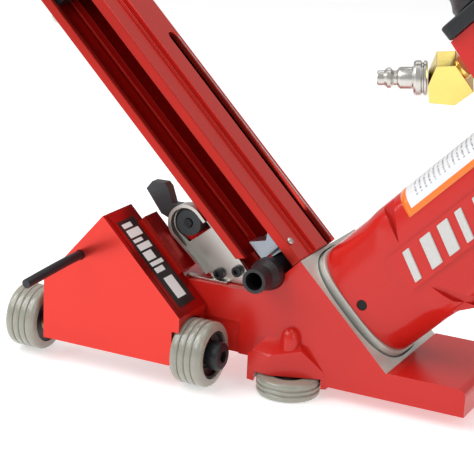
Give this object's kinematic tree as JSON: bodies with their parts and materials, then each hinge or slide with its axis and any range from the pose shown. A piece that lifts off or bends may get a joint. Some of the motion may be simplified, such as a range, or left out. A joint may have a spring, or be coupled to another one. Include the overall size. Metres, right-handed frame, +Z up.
{
  "type": "flooring nailer",
  "caption": "Pneumatic flooring nailer: leaning cylinder on a cast foot, slotted magazine with sliding feeder, roller carriage with cam lever, guide disc and side handle.",
  "frame": {"origin": "middle of the flat sole under the cast base", "axes": "+X from the rollers to the foot, +Y along the floor board away from the rollers side, +Z up; the drive axis leans 45 degrees from +Z to +X"},
  "size_m": [0.4177, 0.1695, 0.3765],
  "materials": {
    "red_paint": "gloss enamel",
    "red_anodised": "satin anodised",
    "bright_steel": "bright",
    "machined_iron": "machined, bare",
    "cast_zinc": "as cast",
    "black_steel": "black oxide",
    "slate_lever": "matt",
    "black_rubber": "matt",
    "clear_urethane": "smooth, milky",
    "brass": "machined",
    "bearing_bronze": "satin"
  },
  "bodies": {
    "root": {"base_casting": "red_paint", "housing": "red_paint", "top_cap": "red_paint", "magazine_channel": "red_anodised", "housing_flange": "machined_iron", "cylinder_sleeve": "bright_steel", "bumper": "black_rubber", "valve_plate": "cast_zinc", "return_spring": "bright_steel", "handle_flange": "black_steel", "handle_grip": "black_rubber", "grip_end_cap": "black_steel", "air_elbow": "brass", "air_plug": "bright_steel", "magazine_end_plate": "black_steel", "spring_stop": "black_steel", "magazine_nut": "bright_steel", "feeder_spring": "bright_steel", "slide_plate": "bright_steel", "cam_pivot_pin": "black_steel", "cap_screw_1": "black_steel", "magazine_screw_1": "bright_steel", "cap_screw_2": "black_steel", "magazine_screw_2": "bright_steel", "cap_screw_3": "black_steel", "magazine_screw_3": "bright_steel", "cap_screw_4": "black_steel", "magazine_screw_4": "bright_steel", "slide_plate_screw_1": "black_steel", "slide_plate_screw_2": "black_steel", "disc_axle_bolt": "bright_steel"},
    "carriage": {"roller_carriage": "red_anodised", "toe_rod": "black_steel", "left_axle_bolt": "black_steel", "right_axle_bolt": "black_steel"},
    "left_roller": {"left_roller_tyre": "clear_urethane", "left_roller_hub": "black_rubber", "left_roller_bearing": "bearing_bronze"},
    "right_roller": {"right_roller_tyre": "clear_urethane", "right_roller_hub": "black_rubber", "right_roller_bearing": "bearing_bronze"},
    "guide_disc": {"guide_disc_tyre": "clear_urethane", "guide_disc_hub": "black_rubber", "guide_disc_bearing": "bearing_bronze"},
    "lever": {"cam_lever": "slate_lever"},
    "feeder": {"feeder_shoe": "cast_zinc", "feeder_grip": "black_rubber"},
    "driver": {"piston": "cast_zinc", "piston_ring": "black_rubber", "driver_blade": "bright_steel"},
    "ram": {"strike_cap": "black_rubber", "ram_stem": "bright_steel"}
  },
  "joints": [
    {"name": "carriage_slide", "type": "slide", "parent": "root", "child": "carriage", "axis": [-0.7071, 0, 0.7071], "range_m": [0, 0.01]},
    {"name": "left_roller_spin", "type": "hinge", "parent": "carriage", "child": "left_roller", "pos_m": [-0.2175, -0.061, 0.0129], "axis": [1, 0, 0], "continuous": true},
    {"name": "right_roller_spin", "type": "hinge", "parent": "carriage", "child": "right_roller", "pos_m": [-0.0996, -0.061, 0.0129], "axis": [1, 0, 0], "continuous": true},
    {"name": "guide_disc_spin", "type": "hinge", "parent": "root", "child": "guide_disc", "pos_m": [-0.048, -0.042, -0.00225], "axis": [0, 0, 1], "continuous": true},
    {"name": "cam_lever_turn", "type": "hinge", "parent": "root", "child": "lever", "pos_m": [-0.12331, 0, 0.08428], "axis": [0, -1, 0], "range_deg": [0, 80]},
    {"name": "feeder_slide", "type": "slide", "parent": "root", "child": "feeder", "axis": [-0.7071, 0, 0.7071], "range_m": [0, 0.17], "stiffness_N_per_m": 20, "springref_m": -0.25, "deforming": ["feeder_spring"]},
    {"name": "piston_drive", "type": "slide", "parent": "root", "child": "driver", "axis": [-0.7071, 0, -0.7071], "range_m": [0, 0.075]},
    {"name": "strike_cap_press", "type": "slide", "parent": "root", "child": "ram", "axis": [-0.7071, 0, -0.7071], "range_m": [0, 0.014], "stiffness_N_per_m": 500, "springref_m": -0.01, "deforming": ["return_spring"]}
  ]
}
